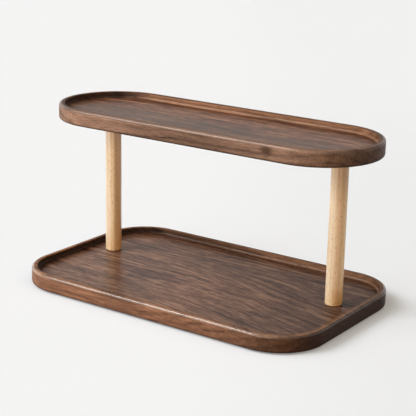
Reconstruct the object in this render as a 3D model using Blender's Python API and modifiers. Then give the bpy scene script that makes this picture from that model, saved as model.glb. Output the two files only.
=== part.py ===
"""Two-tier countertop organizer: two routed walnut trays on a pair of round beech posts.

The lower tray is a rounded rectangle and the upper one has full-round ends. Each is one board with a flat
recess, a standing rim and a cove where the rim meets the floor. The posts stand on the lower floor. A
countersunk bolt comes up through that floor into a threaded insert in the post's foot, and a hanger bolt
joins the post's head to a blind insert in the upper tray. Four thin pads keep the lower board off the worktop.

X runs along the trays, +Y is the back, and Z is up from the worktop. All lengths are in metres.
"""

import math

import bmesh
import bpy

# The lower board
LOWER_LENGTH = 0.400
LOWER_WIDTH = 0.245
LOWER_THICKNESS = 0.020
LOWER_CORNER_RADIUS = 0.058

# The upper board, whose ends are half circles and reach past the lower board's ends by the overhang
UPPER_OVERHANG = 0.014
UPPER_WIDTH = 0.146
UPPER_THICKNESS = 0.019
UPPER_SET_BACK = 0.010

# The routed recess and the rounded edges, alike on both boards
RIM_WIDTH = 0.007
RECESS_DEPTH = 0.0075
COVE_RADIUS = 0.0028
OUTER_EDGE_RADIUS = 0.002
INNER_EDGE_RADIUS = 0.0007

# The posts, whose inset is from the lower board's end to the post's axis
POST_DIAMETER = 0.020
POST_LENGTH = 0.177
POST_INSET = 0.0385
POST_SET_BACK = 0.024
POST_CHAMFER = 0.001

# The countersunk bolts under the lower board
BOLT_DIAMETER = 0.006
BOLT_LENGTH = 0.025
BOLT_HEAD_DIAMETER = 0.0115
BOLT_HEAD_LAND = 0.0005
BOLT_HEAD_RECESS = 0.0004
SOCKET_ACROSS_FLATS = 0.004
SOCKET_DEPTH = 0.002

# The hanger bolts between the posts and the upper board
HANGER_DIAMETER = 0.006
HANGER_WOOD_LENGTH = 0.022
HANGER_MACHINE_LENGTH = 0.007
HANGER_POINT_LENGTH = 0.005
HANGER_POINT_DIAMETER = 0.0015
THREAD_END_CHAMFER = 0.0008

# The threaded inserts
INSERT_DIAMETER = 0.0095
INSERT_CHAMFER = 0.0006
POST_INSERT_LENGTH = 0.015
SHELF_INSERT_LENGTH = 0.008

# The non-slip pads
PAD_DIAMETER = 0.016
PAD_THICKNESS = 0.0012
PAD_EDGE_RADIUS = 0.0004
PAD_INSET = 0.040

# Fits: faces that touch keep the seat gap, and what goes in a hole keeps the clearance all round
SEAT_GAP = 0.0003
HOLE_CLEARANCE = 0.0003
BLIND_HOLE_SPARE = 0.0006
CUT_OVERRUN = 0.002
MERGE_DISTANCE = 0.00001

# Mesh fineness
CORNER_SEGMENTS = 16
OUTER_EDGE_SEGMENTS = 4
INNER_EDGE_SEGMENTS = 2
COVE_SEGMENTS = 4
POST_SEGMENTS = 48
FASTENER_SEGMENTS = 24
PAD_SEGMENTS = 32
PAD_EDGE_SEGMENTS = 2
HEX_SIDES = 6
ROUND_PROFILE = 0.5
RIGHT_ANGLE = math.radians(90)
SHARP_ANGLE = math.radians(60)
SMOOTH_ANGLE = math.radians(35)

# Lengths and heights that follow from the sizes above
UPPER_LENGTH = LOWER_LENGTH + 2 * UPPER_OVERHANG
LOWER_UNDERSIDE = PAD_THICKNESS + SEAT_GAP
LOWER_FLOOR = LOWER_UNDERSIDE + LOWER_THICKNESS - RECESS_DEPTH
POST_FOOT = LOWER_FLOOR + SEAT_GAP
POST_HEAD = POST_FOOT + POST_LENGTH
UPPER_UNDERSIDE = POST_HEAD + SEAT_GAP
BOLT_HEAD_FACE = LOWER_UNDERSIDE + BOLT_HEAD_RECESS

# Each side's name and its direction along X, and each edge's name and its direction along Y
SIDES = (("left", -1), ("right", 1))
EDGES = (("front", -1), ("back", 1))


def clear_scene():
    """Remove whatever the file started with."""
    for obj in list(bpy.data.objects):
        bpy.data.objects.remove(obj, do_unlink=True)


def new_collection(name):
    collection = bpy.data.collections.new(name)
    bpy.context.scene.collection.children.link(collection)
    return collection


def new_material(name, color, roughness, metallic):
    material = bpy.data.materials.new(name)
    material.use_nodes = True
    shader = material.node_tree.nodes["Principled BSDF"]
    shader.inputs["Base Color"].default_value = (*color, 1.0)
    shader.inputs["Roughness"].default_value = roughness
    shader.inputs["Metallic"].default_value = metallic
    return material


def new_object(name, mesh, collection, material):
    """Link the mesh as an object, smooth but for its hard edges."""
    mesh.shade_smooth()
    mesh.set_sharp_from_angle(angle=SMOOTH_ANGLE)
    if material:
        mesh.materials.append(material)
    obj = bpy.data.objects.new(name, mesh)
    collection.objects.link(obj)
    return obj


def arc(centre_radius, centre_height, radius, start, end, segments):
    """Points along an arc of a turned profile. Angles are counter-clockwise from straight out."""
    points = []
    for step in range(segments + 1):
        angle = start + (end - start) * step / segments
        points.append((centre_radius + radius * math.cos(angle), centre_height + radius * math.sin(angle)))
    return points


def turned(name, profile, segments, collection, material=None):
    """Turn a profile of (radius, height) points about Z. It runs from the top down the outer side.

    A profile that starts and ends on the axis makes a solid. Any other is closed into a ring.
    """
    outline = bpy.data.meshes.new(name)
    points = [(radius, 0, height) for radius, height in profile]
    edges = [(index, index + 1) for index in range(len(points) - 1)]
    if profile[0][0] > 0:
        edges.append((len(points) - 1, 0))
    outline.from_pydata(points, edges, [])
    blank = bpy.data.objects.new(name, outline)
    collection.objects.link(blank)
    screw = blank.modifiers.new("Turn", "SCREW")
    screw.steps = segments
    screw.render_steps = segments
    screw.use_merge_vertices = True
    screw.merge_threshold = MERGE_DISTANCE
    mesh = bpy.data.meshes.new_from_object(blank.evaluated_get(bpy.context.evaluated_depsgraph_get()))
    bpy.data.objects.remove(blank, do_unlink=True)
    bpy.data.meshes.remove(outline)
    mesh.name = name
    return new_object(name, mesh, collection, material)


def cut(obj, cutter):
    """Subtract the cutter, which stays as a hidden wire frame."""
    cutter.hide_render = True
    cutter.display_type = "WIRE"
    boolean = obj.modifiers.new("Cut " + cutter.name, "BOOLEAN")
    boolean.operation = "DIFFERENCE"
    boolean.object = cutter


def rounded_outline(length, width, radius):
    """A corner-rounded rectangle as (x, y) points, counter-clockwise. At half the width the ends are full round."""
    points = []
    for quarter, (side_x, side_y) in enumerate(((1, 1), (-1, 1), (-1, -1), (1, -1))):
        centre_x = side_x * (length / 2 - radius)
        centre_y = side_y * (width / 2 - radius)
        start = quarter * RIGHT_ANGLE
        points += arc(centre_x, centre_y, radius, start, start + RIGHT_ANGLE, CORNER_SEGMENTS)
    before = points[-1:] + points[:-1]
    return [point for point, last in zip(points, before) if math.dist(point, last) > MERGE_DISTANCE]


def sharp_edges(bm, turn):
    """The edges that turn outwards (turn 1) or inwards (turn -1) by about a right angle."""
    return [edge for edge in bm.edges if turn * edge.calc_face_angle_signed() > SHARP_ANGLE]


def round_over(bm, edges, radius, segments):
    """Round the edges to an arc, or fill them to one where they turn inwards."""
    bmesh.ops.bevel(
        bm,
        geom=edges,
        offset=radius,
        offset_type="OFFSET",
        segments=segments,
        profile=ROUND_PROFILE,
        affect="EDGES",
    )


def routed_tray(name, outline, thickness, collection, material):
    """Make a board with the outline, round its edges and rout the recess into its top.

    The rim is the top face inset by the rim's width, and the inner face pushed down is the floor. The cove at
    the floor's edge is what the round-nosed cutter leaves.
    """
    bm = bmesh.new()
    bm.faces.new([bm.verts.new((x, y, 0)) for x, y in outline])
    lifted = bmesh.ops.extrude_face_region(bm, geom=bm.faces[:])["geom"]
    lifted_points = [part for part in lifted if isinstance(part, bmesh.types.BMVert)]
    bmesh.ops.translate(bm, verts=lifted_points, vec=(0, 0, thickness))
    bmesh.ops.recalc_face_normals(bm, faces=bm.faces[:])
    round_over(bm, sharp_edges(bm, 1), OUTER_EDGE_RADIUS, OUTER_EDGE_SEGMENTS)

    top = max(bm.faces, key=lambda face: face.calc_center_median().z)
    bmesh.ops.inset_region(bm, faces=[top], thickness=RIM_WIDTH - OUTER_EDGE_RADIUS, use_even_offset=True)
    floor = bmesh.ops.extrude_discrete_faces(bm, faces=[top])["faces"][0]
    bmesh.ops.translate(bm, verts=floor.verts[:], vec=(0, 0, -RECESS_DEPTH))
    round_over(bm, sharp_edges(bm, 1), INNER_EDGE_RADIUS, INNER_EDGE_SEGMENTS)
    round_over(bm, sharp_edges(bm, -1), COVE_RADIUS, COVE_SEGMENTS)

    mesh = bpy.data.meshes.new(name)
    bm.to_mesh(mesh)
    bm.free()
    return new_object(name, mesh, collection, material)


def make_lower_tray(parts, cutters, walnut):
    """The lower board, with a countersunk hole through its floor under each post."""
    outline = rounded_outline(LOWER_LENGTH, LOWER_WIDTH, LOWER_CORNER_RADIUS)
    tray = routed_tray("lower_tray", outline, LOWER_THICKNESS, parts, walnut)
    tray.location.z = LOWER_UNDERSIDE

    head_radius = BOLT_HEAD_DIAMETER / 2 + HOLE_CLEARANCE
    hole_radius = BOLT_DIAMETER / 2 + HOLE_CLEARANCE
    cone_foot = BOLT_HEAD_FACE + BOLT_HEAD_LAND
    cone_top = cone_foot + head_radius - hole_radius
    profile = [
        (0, LOWER_FLOOR + CUT_OVERRUN),
        (hole_radius, LOWER_FLOOR + CUT_OVERRUN),
        (hole_radius, cone_top),
        (head_radius, cone_foot),
        (head_radius, LOWER_UNDERSIDE - CUT_OVERRUN),
        (0, LOWER_UNDERSIDE - CUT_OVERRUN),
    ]
    for side, direction in SIDES:
        cutter = turned(side + "_countersink", profile, FASTENER_SEGMENTS, cutters)
        cutter.location = post_axis(direction)
        cut(tray, cutter)


def make_upper_tray(parts, cutters, walnut):
    """The upper board, with a blind hole in its underside over each post."""
    outline = rounded_outline(UPPER_LENGTH, UPPER_WIDTH, UPPER_WIDTH / 2)
    tray = routed_tray("upper_tray", outline, UPPER_THICKNESS, parts, walnut)
    tray.location = (0, UPPER_SET_BACK, UPPER_UNDERSIDE)

    radius = INSERT_DIAMETER / 2 + HOLE_CLEARANCE
    hole_end = UPPER_UNDERSIDE + SEAT_GAP + SHELF_INSERT_LENGTH + BLIND_HOLE_SPARE
    profile = [
        (0, hole_end),
        (radius, hole_end),
        (radius, UPPER_UNDERSIDE - CUT_OVERRUN),
        (0, UPPER_UNDERSIDE - CUT_OVERRUN),
    ]
    for side, direction in SIDES:
        cutter = turned(side + "_shelf_hole", profile, FASTENER_SEGMENTS, cutters)
        cutter.location = post_axis(direction)
        cut(tray, cutter)


def post_axis(direction):
    """Where the axis of the left or right post meets the worktop."""
    return (direction * (LOWER_LENGTH / 2 - POST_INSET), POST_SET_BACK, 0)


def make_post(side, direction, parts, beech):
    """A turned post with chamfered ends, bored for the hanger bolt at its head and the insert at its foot."""
    radius = POST_DIAMETER / 2
    head_bore = HANGER_DIAMETER / 2 + HOLE_CLEARANCE
    head_bore_end = POST_HEAD - HANGER_WOOD_LENGTH - BLIND_HOLE_SPARE
    foot_bore = INSERT_DIAMETER / 2 + HOLE_CLEARANCE
    foot_bore_end = POST_FOOT + SEAT_GAP + POST_INSERT_LENGTH + BLIND_HOLE_SPARE
    profile = [
        (0, head_bore_end),
        (head_bore, head_bore_end),
        (head_bore, POST_HEAD),
        (radius - POST_CHAMFER, POST_HEAD),
        (radius, POST_HEAD - POST_CHAMFER),
        (radius, POST_FOOT + POST_CHAMFER),
        (radius - POST_CHAMFER, POST_FOOT),
        (foot_bore, POST_FOOT),
        (foot_bore, foot_bore_end),
        (0, foot_bore_end),
    ]
    post = turned(side + "_post", profile, POST_SEGMENTS, parts, beech)
    post.location = post_axis(direction)


def make_base_bolt(side, direction, parts, cutters, steel):
    """A countersunk bolt, head down, with a hex socket."""
    shank = BOLT_DIAMETER / 2
    head = BOLT_HEAD_DIAMETER / 2
    tip = BOLT_HEAD_FACE + BOLT_LENGTH
    cone_foot = BOLT_HEAD_FACE + BOLT_HEAD_LAND
    profile = [
        (0, tip),
        (shank - THREAD_END_CHAMFER, tip),
        (shank, tip - THREAD_END_CHAMFER),
        (shank, cone_foot + head - shank),
        (head, cone_foot),
        (head, BOLT_HEAD_FACE),
        (0, BOLT_HEAD_FACE),
    ]
    bolt = turned(side + "_base_bolt", profile, FASTENER_SEGMENTS, parts, steel)
    bolt.location = post_axis(direction)

    corner_radius = SOCKET_ACROSS_FLATS / 2 / math.cos(RIGHT_ANGLE * 2 / HEX_SIDES)
    profile = [
        (0, BOLT_HEAD_FACE + SOCKET_DEPTH),
        (corner_radius, BOLT_HEAD_FACE + SOCKET_DEPTH),
        (corner_radius, BOLT_HEAD_FACE - CUT_OVERRUN),
        (0, BOLT_HEAD_FACE - CUT_OVERRUN),
    ]
    socket = turned(side + "_socket", profile, HEX_SIDES, cutters)
    socket.location = bolt.location
    cut(bolt, socket)


def make_insert(name, foot, length, bore_diameter, direction, parts, brass):
    """A threaded insert: a sleeve with chamfered ends, standing on the height foot."""
    outer = INSERT_DIAMETER / 2
    bore = bore_diameter / 2
    top = foot + length
    profile = [
        (bore, top),
        (outer - INSERT_CHAMFER, top),
        (outer, top - INSERT_CHAMFER),
        (outer, foot + INSERT_CHAMFER),
        (outer - INSERT_CHAMFER, foot),
        (bore, foot),
    ]
    insert = turned(name, profile, FASTENER_SEGMENTS, parts, brass)
    insert.location = post_axis(direction)


def make_hanger_bolt(side, direction, parts, steel):
    """A headless bolt: its point goes down into the post and its machine end up into the shelf insert."""
    radius = HANGER_DIAMETER / 2
    tip = UPPER_UNDERSIDE + HANGER_MACHINE_LENGTH
    point = POST_HEAD - HANGER_WOOD_LENGTH
    profile = [
        (0, tip),
        (radius - THREAD_END_CHAMFER, tip),
        (radius, tip - THREAD_END_CHAMFER),
        (radius, point + HANGER_POINT_LENGTH),
        (HANGER_POINT_DIAMETER / 2, point),
        (0, point),
    ]
    bolt = turned(side + "_hanger_bolt", profile, FASTENER_SEGMENTS, parts, steel)
    bolt.location = post_axis(direction)


def make_pad(name, x, y, parts, rubber):
    """A flat round pad whose lower edge is rounded."""
    radius = PAD_DIAMETER / 2
    edge = arc(radius - PAD_EDGE_RADIUS, PAD_EDGE_RADIUS, PAD_EDGE_RADIUS, 0, -RIGHT_ANGLE, PAD_EDGE_SEGMENTS)
    profile = [(0, PAD_THICKNESS), (radius, PAD_THICKNESS), *edge, (0, 0)]
    pad = turned(name, profile, PAD_SEGMENTS, parts, rubber)
    pad.location = (x, y, 0)


def main():
    clear_scene()
    parts = new_collection("Two-tier organizer")
    cutters = new_collection("Cutters")
    cutters.hide_render = True

    walnut = new_material("Satin lacquered walnut", (0.115, 0.052, 0.030), 0.38, 0.0)
    beech = new_material("Matt lacquered beech", (0.62, 0.41, 0.22), 0.42, 0.0)
    steel = new_material("Zinc-plated steel", (0.60, 0.61, 0.62), 0.35, 1.0)
    brass = new_material("Turned brass", (0.72, 0.52, 0.22), 0.35, 1.0)
    rubber = new_material("Black rubber", (0.020, 0.020, 0.020), 0.80, 0.0)

    make_lower_tray(parts, cutters, walnut)
    make_upper_tray(parts, cutters, walnut)
    for side, direction in SIDES:
        make_post(side, direction, parts, beech)
        make_base_bolt(side, direction, parts, cutters, steel)
        make_insert(
            side + "_post_insert",
            POST_FOOT + SEAT_GAP,
            POST_INSERT_LENGTH,
            BOLT_DIAMETER + 2 * HOLE_CLEARANCE,
            direction,
            parts,
            brass,
        )
        make_hanger_bolt(side, direction, parts, steel)
        make_insert(
            side + "_shelf_insert",
            UPPER_UNDERSIDE + SEAT_GAP,
            SHELF_INSERT_LENGTH,
            HANGER_DIAMETER + 2 * HOLE_CLEARANCE,
            direction,
            parts,
            brass,
        )
        for edge, edge_direction in EDGES:
            pad_x = direction * (LOWER_LENGTH / 2 - PAD_INSET)
            pad_y = edge_direction * (LOWER_WIDTH / 2 - PAD_INSET)
            make_pad(f"{edge}_{side}_pad", pad_x, pad_y, parts, rubber)


main()
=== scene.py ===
"""Two-tier countertop organizer: its looks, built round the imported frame.

Two routed walnut trays stand one above the other on a pair of round beech posts. The trays and posts are
made again here with finer rounded edges, in the places and sizes of the frame's own nodes, which they stand
for. The bolts, threaded inserts and rubber pads are the frame's own nodes with finished materials.

X runs along the trays, +Y is the back and Z is up from the worktop. Lengths are in metres, but sizes and
places in the patterns of the wood are in millimetres.
"""

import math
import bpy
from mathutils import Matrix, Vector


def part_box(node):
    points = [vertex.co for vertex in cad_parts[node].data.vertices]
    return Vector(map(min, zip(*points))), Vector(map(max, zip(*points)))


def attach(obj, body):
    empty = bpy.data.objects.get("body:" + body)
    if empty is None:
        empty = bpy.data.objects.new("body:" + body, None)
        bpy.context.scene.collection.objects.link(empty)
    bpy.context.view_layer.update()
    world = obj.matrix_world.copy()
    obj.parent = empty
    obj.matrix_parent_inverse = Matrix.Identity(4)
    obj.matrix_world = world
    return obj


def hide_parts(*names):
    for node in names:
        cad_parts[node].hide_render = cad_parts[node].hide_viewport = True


bl_info = {
    "name": "Two-tier organizer",
    "version": (1, 0, 0),
    "blender": (4, 5, 0),
    "location": "View3D > Sidebar > Organizer",
    "description": "Walnut trays on beech posts, dressed round their packed frame",
    "category": "Object",
}

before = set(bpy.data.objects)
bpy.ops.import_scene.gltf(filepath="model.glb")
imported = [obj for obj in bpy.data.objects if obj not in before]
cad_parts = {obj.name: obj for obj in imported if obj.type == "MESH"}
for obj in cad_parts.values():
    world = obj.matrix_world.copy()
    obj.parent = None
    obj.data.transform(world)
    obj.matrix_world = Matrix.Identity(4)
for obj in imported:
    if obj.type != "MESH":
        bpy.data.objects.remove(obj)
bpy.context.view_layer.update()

import bmesh
import bpy
from bpy.props import FloatProperty, FloatVectorProperty, PointerProperty
from mathutils import Euler, Matrix, Vector

MILLIMETRE = 0.001
BODY = "root"

# Mesh fineness
CORNER_SEGMENTS = 32
OUTER_EDGE_SEGMENTS = 8
INNER_EDGE_SEGMENTS = 4
COVE_SEGMENTS = 8
POST_SEGMENTS = 96
BORE_SEGMENTS = 32
ROUND_PROFILE = 0.5
MERGE_DISTANCE = 0.00001
CUT_OVERRUN = 0.002
RIGHT_ANGLE = math.radians(90)
CORNER_ANGLE = math.radians(60)
SMOOTH_ANGLE = math.radians(30)
FACES_UP = 0.5

# The joinery that the boards and posts are bored for, as in the frame
BOLT_HOLE_DIAMETER = 0.0066
COUNTERSINK_DIAMETER = 0.0121
COUNTERSINK_FOOT = 0.0009
INSERT_HOLE_DIAMETER = 0.0101
SHELF_HOLE_DEPTH = 0.0089
HEAD_BORE_DIAMETER = 0.0066
HEAD_BORE_DEPTH = 0.0226
FOOT_BORE_DEPTH = 0.0159

# The lacquer on all the wood, and how near another wall of a tray has to be to paint shade in a corner
LACQUER_IOR = 1.5
CORNER_REACH = 0.020

# Walnut: how long, deep and high its patterns are, and how far aside its grain wanders
WALNUT_TONES = (0.22, 0.5, 0.78)
WALNUT_WANDER = (190, 45, 45)
WALNUT_WANDER_REACH = (0, 22, 16)
WALNUT_BROAD = (260, 24, 24)
WALNUT_PORE = (7, 0.8, 0.8)
WALNUT_PORE_SHARE = 0.5
WALNUT_KNOT = (12, 4, 7)
WALNUT_LATE_WOOD = (0.35, 0.95)
WALNUT_RELIEF = 0.15
BELT_COLOR = "57483E"
BELT_SHARE = 0.5

# Painted shade on the trays: on faces that turn to -X at the left end, and on the floor outside its middle,
# which lies a little aside, as a painted shadow and dark reflection of the left and back walls. There the
# tone comes in from so far inside the bend of the walls to so far outside it. A cove gets painted shade as
# it turns up by so much.
LEFT_END_SHADE_TURN = (-0.3, -0.85)
LEFT_END_SHADE_TINT = "C6BBA6"
FLOOR_SIDE_SHADOW_TINT = "CABCAE"
FLOOR_SIDE_SHADOW_REACH = (-14, 12)
FLOOR_MIDDLE_SHIFT = Vector((10, -14, 0))
COVE_TURN = (0.1, 0.7)

# The floors' lacquer gets thinner in this direction, over this stretch, to this share
THIN_COAT_DIRECTION = (0.6, 0.8, 0)
THIN_COAT_STRETCH = (-160, 120)
THIN_COAT_SHARE = 0.25

# Beech: how wide, deep and high its patterns are, and how far aside its grain wanders
BEECH_COLORS = ("CDA981", "E8D0AC", "F3E0C5")
BEECH_TONES = (0.2, 0.5, 0.8)
BEECH_WANDER = (60, 60, 90)
BEECH_WANDER_REACH = (5, 5, 0)
BEECH_BROAD = (9, 9, 120)
BEECH_FINE = (1.5, 1.5, 50)
BEECH_FLECK = (1, 1, 4.5)
BEECH_FLECK_COLOR = "BC9064"
BEECH_FLECK_SHARE = 0.8
BEECH_LATE_WOOD = (0.45, 0.95)
BEECH_RELIEF = 0.1

# The ramp of painted light and shade runs over the post's 20 mm. Its colours end at white, so they are
# scaled up afterwards.
RAMP_PER_MILLIMETRE = 0.05
TINT_SCALE = 1.2

# The foot of a post, in metres up from its end: painted warm shade from the walnut round it, reaching
# higher up on one side
FOOT_SHADE_TINT = "F4DDB6"
FOOT_SHADE_SHARE = 0.5
FOOT_SHADE_HEIGHT = 0.035
FOOT_SIDE_SHADE_HEIGHTS = (0.030, 0.048)
FOOT_SHADED_SIDE = (-0.3, 1.4)

# Metal and rubber: patches and lathe lines, grit and dust, in millimetres
METAL_PATCH = (2.5, 2.5, 2.5)
LATHE_LINE = (30, 30, 0.25)
METAL_RELIEF = 0.05
RUBBER_GRIT = (0.5, 0.5, 0.5)
RUBBER_DUST = (6, 6, 6)
RUBBER_RELIEF = 0.08

# Level directions as the photograph looks: to its right, and away from it
VIEW_RIGHT = (0.82, 0.57, 0)
VIEW_BACK = (-0.57, 0.82, 0)

# The camera, fitted to the photograph, with its angles in degrees. It stands back from a point on the lower
# tray's underside by the distance, and to the right of it and above it by the next two.
CAMERA_LENS = 107.38
CAMERA_AZIMUTH = 34.884
CAMERA_ELEVATION = 16.239
CAMERA_ROLL = 1.131
CAMERA_DISTANCE = 1.48794
CAMERA_RIGHT = 0.00112
CAMERA_UP = 0.0984
CAMERA_BASE = 0.0015

# The paper floor: its disc, its painted falloff of light to the right and far behind, and its painted shade
# close to the object
PAPER_RADIUS = 20.0
PAPER_SEGMENTS = 64
PAPER_FALLOFF = 0.078
PAPER_FALLOFF_RIGHT = (-0.12, 0.32)
PAPER_FALLOFF_BACK = (1.4, 0.1)
PAPER_FALLOFF_FAR_SHARE = 0.4
PAPER_NEAR_REACH = 0.045
PAPER_NEAR_TONE = 0.8
PAPER_BOUNCE = "8A7E72"

# The backdrop: what it shows, the light it sends out, the dark room above it that reflections show, and how
# high a look goes, from level to straight up, where the one goes over into the other
BACKDROP_COLOR = "F4F4F3"
BACKDROP_BOUNCE = "4A443E"
BACKDROP_LIGHT = (0.063, 0.055, 0.050)
BACKDROP_TOP = (0.25, 0.60)
ROOM_COLOR = "3C3C3C"

# Each lamp: the setting with its share of full light, its colour, how far it stands round to the right and
# up and how wide it looks, in degrees, and whether reflections show it
LAMPS = {
    "key_softbox": ("key", "FFFFFF", -42, 40, 26, True),
    "left_fill": ("left", "FFFFFF", -42, 32, 80, False),
    "right_fill": ("right", "FFDDA9", 60, 25, 100, False),
}

# The kinds of face on a tray, in the order of their materials
WALL, EDGE, FLOOR, RIM, INNER = range(5)

# How each kind of face was made and what that left on it, and the painted shade and highlight it gets:
# - made, colors: the work done last, and the dark, middle and light tone of the wood
# - steps: which of the board's tone steps it has
# - flecks, fleck_size, streaks, broad: the strength and size of flecks, and the strength of other patterns
# - roughness, level, coat, coat_roughness: the gloss of the bare wood and of the lacquer
# - heights: painted shade and highlight tones between two heights above the board's foot or head
# - end_grain_shade_turn, coat_turn: how far a face turns to +X while it gets end grain's darker tone and
#   painted shade, and loses its lacquer
# - cove: how much painted shade an inner wall gets where it turns up to the floor
# - corner: how open a corner is where its shade is full and where it ends, and its tone when full
PLAIN_FACE = {
    "is_floor": False,
    "broad": 0.3,
    "coat": 0,
    "coat_roughness": 0.3,
    "heights": (),
    "end_grain_shade_turn": None,
    "cove": 0,
    "corner": (0.3, 0.9, 0.5),
}
FINISHES = {
    # Walls: sanded and lacquered faces, a warm mid brown with flecks, with painted shade along the lower
    # edge and towards the foot, and a painted highlight under the rounded top edge
    WALL: dict(
        PLAIN_FACE,
        made="sanded",
        steps="wall",
        flecks=0.75,
        fleck_size=(14, 1, 0.8),
        streaks=0.45,
        roughness=0.5,
        level=0.06,
        heights=(
            ("foot", 0.5, 4, 0.55, 1),
            ("foot", 2, 15, 0.92, 1),
            ("head", -8.5, -2.5, 1, 1.12),
        ),
        end_grain_shade_turn=(0.62, 1),
    ),
    # Edges: rubbed smooth by hands, so glossier than the faces, and paler, which is partly a painted
    # highlight
    EDGE: dict(
        PLAIN_FACE,
        made="rubbed edge",
        colors=("5B4033", "8C6D59", "AC8A74"),
        steps="rim",
        flecks=0.3,
        fleck_size=(7, 1.4, 1.4),
        streaks=0.5,
        broad=0.4,
        level=0.3,
        coat_turn=(0, 0.55),
        end_grain_shade_turn=(0.3, 0.9),
    ),
    # Floors: straight off the router, darker and cooler under satin lacquer
    FLOOR: dict(
        PLAIN_FACE,
        made="routed",
        is_floor=True,
        steps="floor",
        flecks=1,
        fleck_size=(13, 3.4, 3.4),
        streaks=1.2,
        coat_turn=(0, 0.5),
        corner=(0.6, 0.95, 0.6),
    ),
    # The rim's flat top: planed, a darker and warmer brown
    RIM: dict(
        PLAIN_FACE,
        made="planed",
        steps="rim",
        flecks=0.6,
        fleck_size=(9, 3, 3),
        streaks=0.8,
        broad=0.4,
        roughness=0.5,
        level=0.15,
    ),
    # Inner walls and coves: as the walls, and darkest where they turn to +X, end grain in painted shade
    INNER: dict(
        PLAIN_FACE,
        made="routed wall",
        colors=("553425", "8E674D", "B48465"),
        steps="inner",
        flecks=0.75,
        fleck_size=(14, 1, 0.8),
        streaks=0.4,
        roughness=0.5,
        level=0.1,
        coat=0.25,
        coat_roughness=0.2,
        coat_turn=(-0.1, 0.3),
        end_grain_shade_turn=(-0.1, 0.4),
        cove=0.28,
        corner=(0.4, 0.95, 0.4),
    ),
}

# The walnut boards, in millimetres and radians:
# - offset: moves the pattern, so that the boards differ
# - sweep, sweep_along, sweep_across: how far the grain sweeps to the front, and over which stretches
# - pith, dip, ring: the middle of the growth rings, its slope along the board, and a ring's width
# - bands, lines, contrast: the sizes of the middling and fine streaks, and their strength on the floor
# - belt, knot: where a greyer belt of the floor begins, and the middle of a small knot
# - end_grain_shade_tint: the tone of end grain and painted shade on faces that turn to +X, away from the
#   lamps
# - depth: where the front's tones go over into the back's
# - front_steps, back_steps: tone steps along X, partly the wood's figure and partly painted shade where the
#   light falls off to the right and towards the back, each a start, an end and the change between them. One
#   that ends left of the board changes all of it. A back that isn't given is the same as the front.
# - faces: what each kind of face has of its own on this board
BOARDS = {
    "lower_tray": {
        "offset": (0, 0, 0),
        "sweep": 46,
        "sweep_along": (-30, 210),
        "sweep_across": (10, 90),
        "pith": (0, 20, 70),
        "dip": (0, 0.05, 0.02),
        "ring": 7,
        "bands": (70, 4.2, 4.2),
        "lines": (34, 2.4, 2.4),
        "contrast": 0.75,
        "end_grain_shade_tint": "B4BAD6",
        "depth": (-20, 50),
        "front_steps": {
            "wall": (
                (-250, -240, 0.03), (-135, -105, 0.1), (-95, -25, -0.24),
                (-20, 5, 0.2), (25, 95, -0.24), (100, 170, -0.5),
            ),
            "inner": ((-250, -240, -0.5), (-75, -35, 0.32), (-5, 25, 0.6), (110, 180, -0.35)),
            "rim": ((-250, -240, 0.15), (-80, -20, -0.13), (60, 180, -0.3)),
            "floor": (
                (-250, -240, -0.03), (-110, -75, -0.18), (-55, -15, 0.27),
                (15, 55, -0.24), (90, 130, -0.33),
            ),
        },
        "back_steps": {
            "rim": ((-250, -240, -0.27), (-60, 60, 0.2), (60, 180, -0.3)),
            "floor": ((-250, -240, -0.06), (-110, -5, -0.32), (60, 110, -0.16)),
        },
        "faces": {
            WALL: {"colors": ("4A2D21", "825E4A", "AA7B60")},
            EDGE: {"roughness": 0.28, "coat": 0.85, "coat_roughness": 0.24},
            FLOOR: {
                "colors": ("3A241B", "6A4A3B", "997660"),
                "roughness": 0.32,
                "level": 0.04,
                "coat": 0.4,
                "coat_roughness": 0.32,
            },
            RIM: {"colors": ("3E281C", "714B30", "9A6A4A")},
            INNER: {},
        },
    },
    "upper_tray": {
        "offset": (530, 310, 0),
        "sweep": 12,
        "sweep_along": (-130, 170),
        "sweep_across": (-10, 70),
        "pith": (0, -290, -150),
        "dip": (0, -0.03, 0.01),
        "ring": 8,
        "bands": (110, 8, 6),
        "lines": (50, 5, 3),
        "contrast": 0.95,
        "belt": (340, 332),
        "knot": (119, -63, 204),
        "end_grain_shade_tint": "D4DFFC",
        "depth": (10, 25),
        "front_steps": {
            "wall": (
                (-215, -160, 0.46), (-115, -40, -0.43), (-20, 15, -0.19),
                (45, 85, 0.5), (140, 205, -0.36),
            ),
            "inner": ((-250, -240, -0.6), (-185, -140, 2.8), (-20, 10, -0.12)),
            "rim": ((-250, -240, -0.4), (-205, -165, 0.33), (90, 130, 0.25), (150, 205, -0.4)),
            "floor": (
                (-250, -240, -0.04), (-115, -85, 0.24), (-80, -35, -0.26),
                (10, 30, -0.08), (40, 75, 0.26),
            ),
        },
        "back_steps": {
            "rim": (
                (-250, -240, -0.4), (-200, -160, 0.33), (-115, -90, -0.35),
                (-20, 10, 0.5), (140, 205, -0.3),
            ),
            "floor": ((-250, -240, 0.3), (-145, -110, -0.22), (-40, -5, 0.16), (35, 55, -0.14)),
        },
        "faces": {
            WALL: {"colors": ("4A362C", "856858", "AA8770")},
            EDGE: {"roughness": 0.36, "coat": 0.42, "coat_roughness": 0.32},
            FLOOR: {"colors": ("38221A", "674737", "946E58"), "roughness": 0.42, "level": 0.16},
            RIM: {"colors": ("38241A", "67442D", "8D6143")},
            INNER: {},
        },
    },
}
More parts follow.
